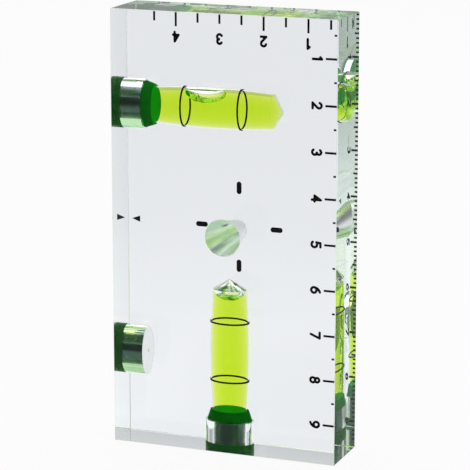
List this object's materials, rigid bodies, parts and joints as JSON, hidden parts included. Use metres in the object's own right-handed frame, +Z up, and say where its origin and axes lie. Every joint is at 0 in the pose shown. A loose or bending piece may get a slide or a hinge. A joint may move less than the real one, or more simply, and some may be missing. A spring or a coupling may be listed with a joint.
{
  "type": "magnetic spirit level",
  "caption": "Clear acrylic block spirit level with a horizontal and a vertical bubble vial, magnets in two faces, a marking hole and printed scales.",
  "frame": {"origin": "middle of the face that the block stands on, with the block upright as in the picture", "axes": "+Z up along the block's long side, -Y out of the front face, +Y out of the printed face, -X out of the face with the two magnets"},
  "size_m": [0.051, 0.014, 0.0955],
  "materials": {
    "clear_acrylic": "clear cast acrylic with polished faces and lightly broken edges",
    "vial_liquid": "fluorescent yellow-green vial liquid",
    "bubble_air": "air bubble in the liquid",
    "green_plug": "dark green plug, smooth",
    "nickel_plate": "bright nickel plating on a disc magnet, with fine turning marks",
    "black_ring": "black ring let into the vial's wall",
    "black_ink": "black printing ink, half matt"
  },
  "bodies": {
    "block": {"acrylic_block": "clear_acrylic", "upper_magnet": "nickel_plate", "upper_magnet_cap": "green_plug", "upper_vial_seal": "green_plug", "upper_vial_outer_ring": "black_ring", "upper_vial_inner_ring": "black_ring", "upper_vial_liquid": "vial_liquid", "lower_magnet": "nickel_plate", "lower_magnet_cap": "green_plug", "lower_vial_seal": "green_plug", "lower_vial_outer_ring": "black_ring", "lower_vial_inner_ring": "black_ring", "lower_vial_liquid": "vial_liquid", "side_magnet": "nickel_plate", "side_magnet_cap": "green_plug"},
    "upper_bubble": {"upper_vial_bubble": "bubble_air"},
    "lower_bubble": {"lower_vial_bubble": "bubble_air"}
  },
  "joints": [
    {"name": "upper_bubble_run", "type": "hinge", "parent": "block", "child": "upper_bubble", "pos_m": [-0.00375, 0, -0.0909], "axis": [0, 1, 0], "range_deg": [-2.15, 3.4], "stiffness_Nm_per_rad": 0.003, "deforming": ["upper_vial_liquid"]},
    {"name": "lower_bubble_run", "type": "slide", "parent": "block", "child": "lower_bubble", "axis": [0, 0, 1], "range_m": [-0.0242, 0], "stiffness_N_per_m": 0.5, "springref_m": 0.02, "deforming": ["lower_vial_liquid"]}
  ]
}
